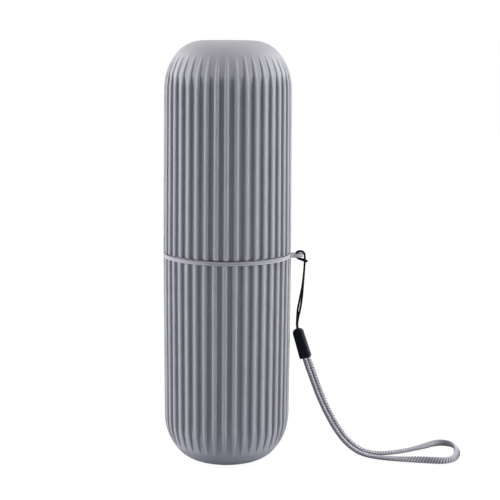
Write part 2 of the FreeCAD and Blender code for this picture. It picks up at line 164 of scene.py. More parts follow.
def rib_section():
    """Half of one rib and groove in section, from the crest's centre line to the groove's: distance
    from the crest's centre line, and depth below the crest."""
    points = []
    for turn in (0.0, math.radians(10), math.radians(20), math.radians(30), crest_turn):
        points.append((crest_round * math.sin(turn), crest_round * (1 - math.cos(turn))))
    across, down = points[-1]
    for turn in (math.radians(54), math.radians(70), math.pi / 2 - flank_lean):
        points.append((
            across + rib_edge * (math.sin(turn) - math.sin(crest_turn)),
            down + rib_edge * (math.cos(crest_turn) - math.cos(turn))))
    foot = groove_depth - groove_fillet
    flank = points[-1][0] + (foot - points[-1][1]) * math.tan(flank_lean)
    for turn in (0.0, math.pi / 6, math.pi / 3, math.pi / 2):
        points.append((
            flank + groove_fillet * (1 - math.cos(turn)), foot + groove_fillet * math.sin(turn)))
    points.append((points[-1][0] + edge_guard, groove_depth))
    return points


def shallower(drop, depth):
    """The lesser of a rib's drop and the groove's depth, with the corner between them eased."""
    ease = min(floor_ease, depth)
    near = max(0.0, ease - abs(drop - depth))
    return min(drop, depth) - (near ** 2 / (4 * ease) if near else 0.0)


def sector_mesh(name, rows, steady_radius, inverted):
    """One rib pitch of a cup, from crest to crest with the groove between. The groove keeps its width
    where the cup narrows, and the rib gives way. Nearer to the axis than the steady radius, all closes in."""
    section = rib_section()
    crest_half = seam_radius * math.sin(rib_pitch / 2) - groove_width / 2
    points, faces = [], []
    for radius, height, depth in rows:
        squeeze = min(1.0, radius / steady_radius)
        room = max(radius, steady_radius) * math.sin(rib_pitch / 2) - groove_width / 2
        half_row = []
        for across, drop in section:
            past = crest_half - across
            side = squeeze * (groove_width / 2 + (past * room / crest_half if past > 0 else past))
            half_row.append((math.sqrt(max(0.0, radius ** 2 - side ** 2)) - shallower(drop, depth), side))
        points += [(out, -side, height) for out, side in half_row]
        points.append((radius - shallower(groove_depth, depth), 0.0, height))
        points += [(out, side, height) for out, side in half_row[::-1]]
    width = 2 * len(section) + 1
    for row in range(len(rows) - 1):
        for column in range(width - 1):
            first = row * width + column
            face = (first, first + 1, first + width + 1, first + width)
            faces.append(face[::-1] if inverted else face)
    mesh = bpy.data.meshes.new(name)
    mesh.from_pydata(points, [], faces)
    return mesh


def put(tree, kind, inputs=None, **settings):
    """Add a node with its settings, and feed its inputs with values or with other nodes' sockets."""
    node = tree.nodes.new(kind)
    for name, setting in settings.items():
        setattr(node, name, setting)
    for key, feed in (inputs or {}).items():
        if isinstance(feed, bpy.types.NodeSocket):
            tree.links.new(feed, node.inputs[key])
        else:
            node.inputs[key].default_value = feed
    return node


def new_tree(name, sizes):
    """A geometry tree with a geometry input and named inputs for sizes, and the sockets that give them."""
    tree = bpy.data.node_groups.new(name, "GeometryNodeTree")
    tree.interface.new_socket("Geometry", in_out="OUTPUT", socket_type="NodeSocketGeometry")
    tree.interface.new_socket("Geometry", in_out="INPUT", socket_type="NodeSocketGeometry")
    for size, kind in sizes.items():
        tree.interface.new_socket(size, in_out="INPUT", socket_type=kind)
    return tree, put(tree, "NodeGroupInput").outputs


def ring_of_ribs():
    """Tree that repeats one sector round the axis and welds the sectors into one shell."""
    tree, given = new_tree("ring of ribs", {
        "Ribs": "NodeSocketInt", "Weld distance": "NodeSocketFloat", "Plastic": "NodeSocketMaterial"})
    index = put(tree, "GeometryNodeInputIndex").outputs[0]
    pitch = put(tree, "ShaderNodeMath", {0: math.tau, 1: given["Ribs"]}, operation="DIVIDE").outputs[0]
    turn = put(tree, "ShaderNodeMath", {0: index, 1: pitch}, operation="MULTIPLY").outputs[0]
    spin = put(tree, "ShaderNodeCombineXYZ", {"Z": turn}).outputs[0]
    spots = put(tree, "GeometryNodePoints", {"Count": given["Ribs"]}).outputs[0]
    ring = put(tree, "GeometryNodeInstanceOnPoints", {
        "Points": spots, "Instance": given["Geometry"], "Rotation": spin}).outputs[0]
    shell = put(tree, "GeometryNodeRealizeInstances", {0: ring}).outputs[0]
    welded = put(tree, "GeometryNodeMergeByDistance", {
        0: shell, "Distance": given["Weld distance"]}).outputs[0]
    coloured = put(tree, "GeometryNodeSetMaterial", {0: welded, "Material": given["Plastic"]}).outputs[0]
    put(tree, "NodeGroupOutput", {0: coloured})
    return tree


def grow(obj, tree, sizes):
    """Give the object a geometry tree with its sizes set by name."""
    growth = obj.modifiers.new(tree.name, "NODES")
    growth.node_group = tree
    for socket in tree.interface.items_tree:
        if socket.in_out == "INPUT" and socket.name in sizes:
            growth[socket.identifier] = sizes[socket.name]
    return obj


def link(name, data):
    """A new object at the origin, in the scene."""
    obj = bpy.data.objects.new(name, data)
    bpy.context.scene.collection.objects.link(obj)
    return obj


def settled(name, source):
    """The source's evaluated shape as a new plain mesh object, smooth but for its sharp edges."""
    depsgraph = bpy.context.evaluated_depsgraph_get()
    mesh = bpy.data.meshes.new_from_object(source.evaluated_get(depsgraph), depsgraph=depsgraph)
    bpy.data.objects.remove(source)
    for slot in reversed(range(len(mesh.materials))):
        if mesh.materials[slot] is None:
            mesh.materials.pop(index=slot)
    mesh.shade_smooth()
    mesh.set_sharp_from_angle(angle=sharp_angle)
    return link(name, mesh)


def grey_plastic():
    """Satin grey polypropylene: faint flow clouds in the colour and gloss, and a fine moulded grain."""
    material = bpy.data.materials.new("grey satin plastic")
    material.use_nodes = True
    tree = material.node_tree
    shader = tree.nodes["Principled BSDF"]
    shader.inputs["IOR"].default_value = 1.3
    place = put(tree, "ShaderNodeTexCoord").outputs["Object"]
    clouds = put(tree, "ShaderNodeTexNoise", {"Vector": place, "Scale": 70.0, "Detail": 3.0}).outputs["Fac"]
    tint = put(tree, "ShaderNodeValToRGB", {"Fac": clouds})
    tint.color_ramp.elements[0].position = 0.3
    tint.color_ramp.elements[0].color = (0.345, 0.345, 0.372, 1.0)
    tint.color_ramp.elements[1].position = 0.7
    tint.color_ramp.elements[1].color = (0.365, 0.365, 0.392, 1.0)
    tree.links.new(tint.outputs["Color"], shader.inputs["Base Color"])
    gloss = put(tree, "ShaderNodeMapRange", {
        "Value": clouds, "From Min": 0.3, "From Max": 0.7, "To Min": 0.52, "To Max": 0.6})
    tree.links.new(gloss.outputs["Result"], shader.inputs["Roughness"])
    grain = put(tree, "ShaderNodeTexNoise", {"Vector": place, "Scale": 2600.0, "Detail": 2.0}).outputs["Fac"]
    relief = put(tree, "ShaderNodeBump", {"Height": grain, "Strength": 0.12, "Distance": 0.00004})
    tree.links.new(relief.outputs["Normal"], shader.inputs["Normal"])
    return material


shell_plastic = grey_plastic()
rib_ring = ring_of_ribs()
ring_sizes = {"Ribs": rib_count, "Weld distance": weld_distance, "Plastic": shell_plastic}

lower_rows = ribbed_rows(lower_knee, lower_fade, rim_bottom)
under_rim = quarter_turn(rim_radius - rim_under_edge, rim_bottom + rim_under_edge, rim_under_edge, False)
over_rim = quarter_turn(rim_radius - rim_edge, rim_top - rim_edge, rim_edge, True)
rim_face = (rim_bottom + rim_under_edge, rim_top - rim_edge)
cove = []
for share in (0.15, 0.3, 0.45, 0.6, 0.75, 0.9):
    sink = rim_cove * math.sin(math.pi * share)
    cove.append((rim_radius - sink, rim_face[0] + (rim_face[1] - rim_face[0]) * share))
lower_rows += [(radius, height, 0.0) for radius, height in under_rim[::-1] + cove + over_rim]
lower_rows += [
    (rim_radius - rim_lip, rim_top, 0.0), (rim_radius - rim_lip, rim_top - rim_sink, 0.0),
    (neck_radius, rim_top - rim_sink, 0.0), (neck_radius, neck_top - neck_lead, 0.0),
    (neck_radius - neck_lead, neck_top, 0.0)]
lower_rows += bored_rows(neck_top)
lower_sector = sector_mesh("lower_sector", lower_rows, dome_radius(lower_fade, end_radius), False)
lower_sector.transform(Matrix.Rotation(rib_pitch / 2, 4, "Z"))
lower_cup = settled("lower_cup_shell", grow(link("lower_sector", lower_sector), rib_ring, ring_sizes))

lug_hole_place = seam_radius + 0.0026
lug_hole_radius = 0.0013
lug_half_width = 0.0033
lug_flare = 0.0010
lug_top = rim_top - 0.00035
lug_bottom = lug_top - 0.0018
lug_root = rim_radius - 0.0005
lug_edge = 0.00035
lug_edge_steps = 4


def lug_outline():
    """Edge of the lug from its root on one side, round the tip, to its root on the other."""
    flare = [
        (lug_root, lug_half_width + lug_flare), (rim_radius, lug_half_width + lug_flare),
        (rim_radius + lug_flare / 3, lug_half_width + lug_flare / 3),
        (rim_radius + lug_flare, lug_half_width)]
    tip_steps = 24
    turns = [math.pi * step / tip_steps - math.pi / 2 for step in range(tip_steps + 1)]
    tip = [
        (lug_hole_place + lug_half_width * math.cos(turn), lug_half_width * math.sin(turn)) for turn in turns]
    return [(x, -y) for x, y in flare] + tip + flare[::-1]


def ring_shell(name, rings):
    """Closed shell through rings of as many points each, the last joined to the first."""
    form = bmesh.new()
    made = [[form.verts.new(point) for point in ring] for ring in rings]
    for here, there in zip(made, made[1:] + made[:1]):
        for index in range(len(here)):
            after = (index + 1) % len(here)
            form.faces.new((here[index], here[after], there[after], there[index]))
    bmesh.ops.recalc_face_normals(form, faces=form.faces)
    mesh = bpy.data.meshes.new(name)
    form.to_mesh(mesh)
    form.free()
    mesh.shade_smooth()
    mesh.set_sharp_from_angle(angle=sharp_angle)
    return mesh


def lug_mesh():
    """Flat eye with rounded edges: rings of points go round the outside, over the top and down the hole."""
    outline = [Vector((x, y, 0.0)) for x, y in lug_outline()]
    centre = Vector((lug_hole_place, 0.0, 0.0))
    hole = [centre + (corner - centre).normalized() * lug_hole_radius for corner in outline]
    turns = [math.pi / 2 * step / lug_edge_steps for step in range(lug_edge_steps + 1)]
    edge = [(lug_edge * (1 - math.cos(turn)), lug_edge * math.sin(turn)) for turn in turns]
    upper = [(inset, lug_top - lug_edge + rise) for inset, rise in edge]
    lower = [(inset, lug_bottom + lug_edge - rise) for inset, rise in edge]
    loops = []
    for inset, height in lower[::-1] + upper:
        loops.append([
            corner + (centre - corner).normalized() * inset + Vector((0, 0, height)) for corner in outline])
    for inset, height in upper[::-1] + lower:
        loops.append([
            spot + (spot - centre).normalized() * inset + Vector((0, 0, height)) for spot in hole])
    return ring_shell("lug", loops)


moulding = bmesh.new()
moulding.from_mesh(lower_cup.data)
moulding.from_mesh(lug_mesh())
moulding.to_mesh(lower_cup.data)
moulding.free()
lower_cup.data.shade_smooth()
lower_cup.data.set_sharp_from_angle(angle=sharp_angle)
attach(lower_cup, "case_bottom")
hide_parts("lower_cup")


# Upper cup: the same plastic and ribs, moulded as a plain cap. Its grooves run out through the
# lower edge, and inside the mouth a counterbore fits over the neck and seats on its top.
# The fit is round, so the cap sits turned by a little against the ribs below.
upper_knee = 0.0160
upper_fade = 0.0062
mouth_height = rim_top + 0.0005
mouth_edge = 0.0007
socket_radius = neck_radius + 0.00025
upper_turn = math.radians(1.0)

upper_rows = ribbed_rows(upper_knee, upper_fade, case_height - mouth_height - mouth_edge)
for radius, height in quarter_turn(
        seam_radius - mouth_edge, case_height - mouth_height - mouth_edge, mouth_edge, True)[1:]:
    upper_rows.append((radius, height, groove_depth))
seat = case_height - neck_top
upper_rows += [(socket_radius, case_height - mouth_height, 0.0), (socket_radius, seat, 0.0)]
upper_rows += bored_rows(seat)
upper_rows = [(radius, case_height - height, depth) for radius, height, depth in upper_rows]
upper_sector = sector_mesh("upper_sector", upper_rows, dome_radius(upper_fade, end_radius), True)
upper_sector.transform(Matrix.Rotation(rib_pitch / 2 + upper_turn, 4, "Z"))
upper_cup = settled("upper_cup_shell", grow(link("upper_sector", upper_sector), rib_ring, ring_sizes))
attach(upper_cup, "case_top")
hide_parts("upper_cup")


# Cord loop: thin black braided cord. Both ends leave the clamp side by side, go over the lug's
# bar and down through its hole, and the bight comes out below and closes round the two strands.
cord_diameter = 0.00106
cord_front = [
    (0.03706, -0.0005, 0.06236), (0.03525, -0.0005, 0.0679), (0.0354, -0.0005, 0.0724),
    (0.03558, -0.0005, 0.0770), (0.0363, -0.0005, 0.0809), (0.0370, -0.0005, 0.0847),
    (0.03785, -0.0005, 0.0888), (0.03855, -0.0005, 0.0955), (0.03894, -0.0005, 0.10096),
    (0.0390, -0.0005, 0.10705), (0.03445, -0.0005, 0.10705), (0.0347, -0.0005, 0.10364),
    (0.0377, -0.0013, 0.10285), (0.0396, -0.0019, 0.10215)]
cord_bight = [(0.0402, 0.0, 0.10194)]
cord_back = [
    (0.0396, 0.0019, 0.10215), (0.0377, 0.0013, 0.10285), (0.0347, 0.0005, 0.10364),
    (0.03445, 0.0005, 0.10705), (0.0390, 0.0005, 0.10705), (0.03894, 0.0005, 0.10096),
    (0.03865, 0.0005, 0.0955), (0.0382, 0.0005, 0.0888), (0.03797, 0.0005, 0.0847),
    (0.03752, 0.0005, 0.0808), (0.03692, 0.0005, 0.0769), (0.0359, 0.0005, 0.0725),
    (0.03545, 0.0005, 0.0679), (0.03706, 0.0005, 0.06236)]


def route_curve(name, points, twist):
    """Smooth open spline with the route's points as its control points."""
    curve = bpy.data.curves.new(name, "CURVE")
    curve.dimensions = "3D"
    curve.twist_mode = twist
    curve.resolution_u = 16
    spline = curve.splines.new("NURBS")
    spline.points.add(len(points) - 1)
    for point, place in zip(spline.points, points):
        point.co = (*place, 1.0)
    spline.order_u = 3
    spline.use_endpoint_u = True
    return link(name, curve)


def centre_line(route):
    """Points along the route's spline, read from the curve without any bevel."""
    line = bpy.data.meshes.new_from_object(route)
    points = [vertex.co.copy() for vertex in line.vertices]
    bpy.data.meshes.remove(line)
    return points


def braid():
    """Tree that winds flat yarns, half of them each way, round an oval core along a spline. Those of one
    hand lie over those of the other and rise and dip a little where they cross."""
    ripple_share = 0.15
    hand_share = 0.4
    core_depth = 3.6
    tree, given = new_tree("braid", {
        "Yarns": "NodeSocketInt", "Lay": "NodeSocketFloat", "Width": "NodeSocketFloat",
        "Thickness": "NodeSocketFloat", "Yarn width": "NodeSocketFloat",
        "Yarn thickness": "NodeSocketFloat", "Step": "NodeSocketFloat", "Yarn": "NodeSocketMaterial"})

    def maths(operation, *terms):
        feeds = dict(enumerate(terms))
        return put(tree, "ShaderNodeMath", feeds, operation=operation).outputs[0]

    def vector_maths(operation, *terms):
        feeds = dict(enumerate(terms))
        if operation == "SCALE":
            feeds["Scale"] = feeds.pop(1)
        return put(tree, "ShaderNodeVectorMath", feeds, operation=operation).outputs[0]

    line = put(tree, "GeometryNodeResampleCurve", {
        "Curve": given["Geometry"], "Length": given["Step"]}, mode="LENGTH").outputs[0]
    along = put(tree, "GeometryNodeSplineParameter").outputs["Length"]
    copies = put(tree, "GeometryNodeDuplicateElements", {
        "Geometry": line, "Amount": given["Yarns"]}, domain="SPLINE")
    number = copies.outputs["Duplicate Index"]
    pairs = maths("DIVIDE", given["Yarns"], 2.0)
    hand = maths("SUBTRACT", 1.0, maths("MULTIPLY", maths("MODULO", number, 2.0), 2.0))
    place_in_hand = maths("FLOOR", maths("DIVIDE", number, 2.0))
    start = maths("MULTIPLY", maths("DIVIDE", place_in_hand, pairs), math.tau)
    wound = maths("MULTIPLY", maths("DIVIDE", along, given["Lay"]), math.tau)
    angle = maths("SUBTRACT", start, maths("MULTIPLY", wound, hand))
    ripple = maths("MULTIPLY", maths("COSINE", maths("MULTIPLY", wound, pairs)), hand)
    over = maths("MULTIPLY_ADD", ripple, ripple_share, maths("MULTIPLY", hand, hand_share))
    lift = maths("MULTIPLY", maths("SUBTRACT", over, 1.0), given["Yarn thickness"])
    half_width = maths("ADD", maths("DIVIDE", given["Width"], 2.0), lift)
    half_thickness = maths("ADD", maths("DIVIDE", given["Thickness"], 2.0), lift)

    side = put(tree, "GeometryNodeInputNormal").outputs[0]
    tangent = put(tree, "GeometryNodeInputTangent").outputs[0]
    rise = vector_maths("CROSS_PRODUCT", tangent, side)
    across = vector_maths("SCALE", side, maths("MULTIPLY", maths("COSINE", angle), half_thickness))
    upward = vector_maths("SCALE", rise, maths("MULTIPLY", maths("SINE", angle), half_width))
    offset = vector_maths("ADD", across, upward)
    copied = copies.outputs["Geometry"]
    copied = put(tree, "GeometryNodeStoreNamedAttribute", {
        "Geometry": copied, "Name": "outward", "Value": vector_maths("NORMALIZE", offset)},
        data_type="FLOAT_VECTOR", domain="POINT").outputs[0]
    # The on top value is read by the yarn material to paint shade: darker where a yarn lies under.
    copied = put(tree, "GeometryNodeStoreNamedAttribute", {
        "Geometry": copied, "Name": "on top", "Value": maths("MULTIPLY_ADD", over, 0.9, 0.5)},
        data_type="FLOAT", domain="POINT").outputs[0]
    wound_yarns = put(tree, "GeometryNodeSetPosition", {"Geometry": copied, "Offset": offset}).outputs[0]
    wound_yarns = put(tree, "GeometryNodeSetCurveTilt", {0: wound_yarns, "Tilt": 0.0}).outputs[0]
    outward = put(tree, "GeometryNodeInputNamedAttribute", {
        "Name": "outward"}, data_type="FLOAT_VECTOR").outputs[0]
    wound_yarns = put(tree, "GeometryNodeSetCurveNormal", {
        "Curve": wound_yarns, "Normal": outward}, mode="FREE").outputs[0]
    ring = put(tree, "GeometryNodeCurvePrimitiveCircle", {
        "Resolution": 8, "Radius": 0.5}, mode="RADIUS").outputs[0]
    ring_spot = put(tree, "GeometryNodeInputPosition").outputs[0]
    ring_place = put(tree, "ShaderNodeSeparateXYZ", {0: ring_spot}).outputs["X"]
    # The crown value is read by the yarn material to paint shade: darker towards a yarn's sides.
    ring = put(tree, "GeometryNodeStoreNamedAttribute", {
        "Geometry": ring, "Name": "crown", "Value": maths("MULTIPLY", ring_place, 2.0)},
        data_type="FLOAT", domain="POINT").outputs[0]
    flat = put(tree, "ShaderNodeCombineXYZ", {
        "X": given["Yarn thickness"], "Y": given["Yarn width"], "Z": 1.0}).outputs[0]
    section = put(tree, "GeometryNodeTransform", {"Geometry": ring, "Scale": flat}).outputs[0]
    yarns = put(tree, "GeometryNodeCurveToMesh", {
        "Curve": wound_yarns, "Profile Curve": section, "Fill Caps": True}).outputs[0]

    # The core carries no on top or crown values, so the yarn material paints it at its darkest, as shade
    # between the yarns.
    round_core = put(tree, "GeometryNodeCurvePrimitiveCircle", {
        "Resolution": 12, "Radius": 0.5}, mode="RADIUS").outputs[0]
    under_yarns = maths("MULTIPLY", given["Yarn thickness"], core_depth)
    core_width = maths("SUBTRACT", given["Width"], under_yarns)
    core_thickness = maths("SUBTRACT", given["Thickness"], under_yarns)
    oval = put(tree, "ShaderNodeCombineXYZ", {"X": core_thickness, "Y": core_width, "Z": 1.0}).outputs[0]
    core_section = put(tree, "GeometryNodeTransform", {"Geometry": round_core, "Scale": oval}).outputs[0]
    core = put(tree, "GeometryNodeCurveToMesh", {
        "Curve": line, "Profile Curve": core_section, "Fill Caps": True}).outputs[0]
    both = put(tree, "GeometryNodeJoinGeometry")
    tree.links.new(core, both.inputs[0])
    tree.links.new(yarns, both.inputs[0])
    whole = put(tree, "GeometryNodeRealizeInstances", {0: both.outputs[0]}).outputs[0]
    coloured = put(tree, "GeometryNodeSetMaterial", {0: whole, "Material": given["Yarn"]}).outputs[0]
    put(tree, "NodeGroupOutput", {0: coloured})
    return tree


def yarn_material(name, dark, light, roughness, fibre_spacing):
    """Spun yarn broken up by fine fibres, with painted shade: lighter along its crown where it lies on top,
    darker at its sides and where it lies under. Low down, below a set height, this painted shade is stronger."""
    fibre_share = 0.45
    side_shade_share = 0.34
    under_shade_share = 0.41
    low_shade_share = 0.1
    slack_below = 0.006
    taut_above = 0.02
    low_shade_middle = 0.6
    material = bpy.data.materials.new(name)
    material.use_nodes = True
    tree = material.node_tree
    shader = tree.nodes["Principled BSDF"]
    shader.inputs["Roughness"].default_value = roughness
    shader.inputs["IOR"].default_value = 1.2
    place = put(tree, "ShaderNodeTexCoord").outputs["Object"]
    fibres = put(tree, "ShaderNodeTexNoise", {
        "Vector": place, "Scale": 1.0 / fibre_spacing, "Detail": 4.0, "Roughness": 0.65}).outputs["Fac"]
    # Painted shade: a yarn is drawn darker where it lies under the other hand and lighter where it lies on
    # top.
    shade_by_lift = put(tree, "ShaderNodeAttribute", attribute_name="on top").outputs["Fac"]
    crown = put(tree, "ShaderNodeAttribute", attribute_name="crown").outputs["Fac"]

    def blended(value, share, base):
        return put(tree, "ShaderNodeMath", {0: value, 1: share, 2: base}, operation="MULTIPLY_ADD").outputs[0]

    speckled = blended(fibres, fibre_share, -fibre_share / 2)
    # Painted shade: a yarn is drawn darker towards its sides, away from its crown.
    rounded = blended(crown, side_shade_share, speckled)
    shaded_under = blended(shade_by_lift, under_shade_share, rounded)
    # Low down, the painted shade between yarns on top and yarns under is made stronger.
    height = put(tree, "ShaderNodeSeparateXYZ", {0: place}).outputs["Z"]
    low_shade_boost = put(tree, "ShaderNodeMapRange", {
        "Value": height, "From Min": slack_below, "From Max": taut_above,
        "To Min": low_shade_share, "To Max": 0.0}).outputs[0]
    low_shade_split = put(tree, "ShaderNodeMath", {0: shade_by_lift, 1: low_shade_middle}, operation="SUBTRACT").outputs[0]
    # The ramp's dark end is painted shade, its light end the lit crown of a yarn.
    tint = put(tree, "ShaderNodeValToRGB", {"Fac": blended(low_shade_split, low_shade_boost, shaded_under)})
    tint.color_ramp.elements[0].position = 0.225
    tint.color_ramp.elements[0].color = dark
    tint.color_ramp.elements[1].position = 0.9
    tint.color_ramp.elements[1].color = light
    tree.links.new(tint.outputs["Color"], shader.inputs["Base Color"])
    relief = put(tree, "ShaderNodeBump", {"Height": fibres, "Strength": 0.35, "Distance": fibre_spacing / 4})
    tree.links.new(relief.outputs["Normal"], shader.inputs["Normal"])
    return material


braid_tree = braid()
# Near-black ends of the same painted-shade ramp as the strap's yarn.
black_yarn = yarn_material(
    "black cord yarn", (0.0012, 0.0012, 0.0018, 1), (0.005, 0.005, 0.0065, 1), 0.7, 0.0002)
cord_route = cord_front + cord_bight + cord_back
cord_curve = route_curve("cord_route", cord_route, "MINIMUM")
cord_line = centre_line(cord_curve)
cord_loop = settled("black_cord", grow(cord_curve, braid_tree, {
    "Yarns": 8, "Lay": 0.0024, "Width": cord_diameter, "Thickness": cord_diameter,
    "Yarn width": 0.0005, "Yarn thickness": 0.00014, "Step": 0.00012, "Yarn": black_yarn}))
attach(cord_loop, "lanyard")
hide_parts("cord_loop")


# Cord clamp: black moulded sleeve, tapered and rounded off at the top, pushed down over the
# crimp. It is open below, and a slot in its top lets the two ends of the cord in.
clamp_foot = Vector((0.0400, 0.0, 0.0528))
clamp_tilt = math.radians(17.1)
clamp_length = 0.0153
clamp_top_half = 0.00285
clamp_foot_half = 0.00315
clamp_half_depth = 0.0030
clamp_round = 0.0022
clamp_edge = 0.0022
clamp_lip = 0.0003
clamp_wall = 0.0006
clamp_roof = 0.0015
cord_slot = (0.0006, 0.00105)


def rounded_ring(half_x, half_y, corner, height):
    """Rounded rectangle about the clamp's axis, with the same number of points whatever its size."""
    corner_steps = 7
    corner = min(corner, half_x, half_y)
    points = []
    for quarter, (way_x, way_y) in enumerate(((1, 1), (-1, 1), (-1, -1), (1, -1))):
        for step in range(corner_steps + 1):
            turn = math.pi / 2 * (quarter + step / corner_steps)
            points.append(Vector((
                way_x * (half_x - corner) + corner * math.cos(turn),
                way_y * (half_y - corner) + corner * math.sin(turn), height)))
    return points


def clamp_rings():
    """Rings of the sleeve: up the outside, over the rounded top, down the slot and the cavity."""
    straight = clamp_length - clamp_round
    rings = []
    for turn in (0, 30, 60, 90):
        inset = clamp_lip * (1 - math.sin(math.radians(turn)))
        height = clamp_lip * (1 - math.cos(math.radians(turn)))
        rings.append(rounded_ring(clamp_foot_half - inset, clamp_half_depth - inset, clamp_edge, height))
    for share in (0.03, 0.5, 0.97, 1.0):
        half = clamp_foot_half + (clamp_top_half - clamp_foot_half) * share
        height = clamp_lip + (straight - clamp_lip) * share
        rings.append(rounded_ring(half, clamp_half_depth, clamp_edge, height))
    for turn in (12, 24, 36, 48, 60, 70, 80, 88):
        rise = clamp_round * math.sin(math.radians(turn))
        half = clamp_top_half - clamp_round * (1 - math.cos(math.radians(turn)))
        past = max(0.0, rise - (clamp_round - clamp_edge))
        inset = clamp_edge - math.sqrt(clamp_edge ** 2 - past ** 2)
        rings.append(rounded_ring(half, clamp_half_depth - inset, clamp_edge, straight + rise))
    roof = clamp_length - clamp_roof
    cavity = (clamp_top_half - clamp_wall, clamp_half_depth - clamp_wall)
    rings.append(rounded_ring(*cord_slot, cord_slot[0], clamp_length))
    rings.append(rounded_ring(*cord_slot, cord_slot[0], roof))
    rings.append(rounded_ring(*cavity, clamp_wall, roof))
    rings.append(rounded_ring(*cavity, clamp_wall, clamp_lip))
    rings.append(rounded_ring(cavity[0] + clamp_lip / 2, cavity[1] + clamp_lip / 2, clamp_wall, 0.0))
    return rings


def black_plastic():
    """Black satin plastic with a fine spark-eroded grain and slight blotches in its gloss."""
    material = bpy.data.materials.new("black satin plastic")
    material.use_nodes = True
    tree = material.node_tree
    shader = tree.nodes["Principled BSDF"]
    shader.inputs["IOR"].default_value = 1.27
    shader.inputs["Specular Tint"].default_value = (0.72, 0.82, 1.0, 1)
    place = put(tree, "ShaderNodeTexCoord").outputs["Object"]
    blotches = put(tree, "ShaderNodeTexNoise", {
        "Vector": place, "Scale": 320.0, "Detail": 3.0}).outputs["Fac"]
    tint = put(tree, "ShaderNodeValToRGB", {"Fac": blotches})
    tint.color_ramp.elements[0].color = (0.0034, 0.0040, 0.0066, 1)
    tint.color_ramp.elements[1].color = (0.0050, 0.0060, 0.0100, 1)
    tree.links.new(tint.outputs["Color"], shader.inputs["Base Color"])
    gloss = put(tree, "ShaderNodeMapRange", {"Value": blotches, "To Min": 0.38, "To Max": 0.52})
    tree.links.new(gloss.outputs["Result"], shader.inputs["Roughness"])
    grain = put(tree, "ShaderNodeTexNoise", {"Vector": place, "Scale": 5200.0, "Detail": 2.0}).outputs["Fac"]
    relief = put(tree, "ShaderNodeBump", {"Height": grain, "Strength": 0.15, "Distance": 0.00003})
    tree.links.new(relief.outputs["Normal"], shader.inputs["Normal"])
    return material


clamp_mesh = ring_shell("clamp_sleeve", clamp_rings())
clamp_mesh.transform(Matrix.Translation(clamp_foot) @ Matrix.Rotation(-clamp_tilt, 4, "Y"))
clamp_mesh.materials.append(black_plastic())
cord_clamp = link("clamp_sleeve", clamp_mesh)
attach(cord_clamp, "lanyard")
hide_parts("cord_clamp")


# Clamp crimp: pressed steel block hidden in the sleeve, closed over the ends of cord and strap.
# Its shape is the CAD one, with a brushed metal finish.
def brushed_steel():
    """Steel with fine brush lines along the crimp."""
    material = bpy.data.materials.new("crimp steel")
    material.use_nodes = True
    tree = material.node_tree
    shader = tree.nodes["Principled BSDF"]
    shader.inputs["Metallic"].default_value = 1.0
    shader.inputs["Base Color"].default_value = (0.56, 0.56, 0.57, 1)
    place = put(tree, "ShaderNodeTexCoord").outputs["Object"]
    stretched = put(tree, "ShaderNodeMapping", {"Vector": place, "Scale": (9000.0, 9000.0, 400.0)}).outputs[0]
    lines = put(tree, "ShaderNodeTexNoise", {"Vector": stretched, "Scale": 1.0, "Detail": 2.0}).outputs["Fac"]
    gloss = put(tree, "ShaderNodeMapRange", {"Value": lines, "To Min": 0.25, "To Max": 0.5})
    tree.links.new(gloss.outputs["Result"], shader.inputs["Roughness"])
    return material


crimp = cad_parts["clamp_crimp"]
crimp.data.materials.clear()
crimp.data.materials.append(brushed_steel())


# Wrist strap: grey braided cord with an oval section. It leaves the clamp as two strands, sweeps
# down to the floor and turns round in one open loop. On its way it turns over, by the degrees
# that strap_turns gives for each point of its route.
strap_width = 0.0036
strap_thickness = 0.0023
strap_route = [
    (0.03800, -0.0009, 0.05745), (0.03995, -0.0009, 0.0504), (0.04295, -0.0009, 0.0424),
    (0.04635, -0.0009, 0.0332), (0.05060, -0.0010, 0.0240), (0.05545, -0.0011, 0.0153),
    (0.0610, -0.0013, 0.0081), (0.0680, -0.0015, 0.0030), (0.0760, -0.0021, 0.0013),
    (0.0860, -0.0050, 0.0013), (0.0965, -0.0062, 0.0015), (0.1040, -0.0078, 0.0018),
    (0.1105, -0.0086, 0.0017), (0.1163, -0.0042, 0.0015), (0.1190, 0.0060, 0.0015),
    (0.1194, 0.0155, 0.0016), (0.1171, 0.0226, 0.0018), (0.1100, 0.0243, 0.0018),
    (0.1026, 0.0174, 0.0016), (0.0936, 0.0104, 0.0014), (0.0844, 0.0055, 0.0014),
    (0.0763, 0.0033, 0.0016), (0.0690, 0.0020, 0.0038), (0.0627, 0.0013, 0.0088),
    (0.0575, 0.0011, 0.0155), (0.05275, 0.0010, 0.0240), (0.04855, 0.0009, 0.0330),
    (0.04535, 0.0009, 0.0420), (0.04235, 0.0009, 0.0502), (0.03920, 0.0009, 0.05770)]
strap_turns = [
    80, 80, 80, 80, 80, 78, 76, 76, 80, 95, 127, 172, 137, 118, 125, 130, 160, 182, 153, 113, 102, 98, 94,
    92, 88, 85, 80, 80, 80, 80]

# The dark colour is painted shade in the gaps and under the yarns, the light one the lit crown of a yarn.
grey_yarn = yarn_material("grey strap yarn", (0.05, 0.05, 0.063, 1), (0.63, 0.62, 0.67, 1), 0.6, 0.00025)
strap_curve = route_curve("strap_route", strap_route, "Z_UP")
for point, turn in zip(strap_curve.data.splines[0].points, strap_turns):
    point.tilt = math.radians(turn)
strap_line = centre_line(strap_curve)
wrist_strap = settled("braided_strap", grow(strap_curve, braid_tree, {
    "Yarns": 6, "Lay": 0.0043, "Width": strap_width, "Thickness": strap_thickness,
    "Yarn width": 0.00118, "Yarn thickness": 0.00026, "Step": 0.00027, "Yarn": grey_yarn}))
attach(wrist_strap, "lanyard")
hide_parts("wrist_strap")


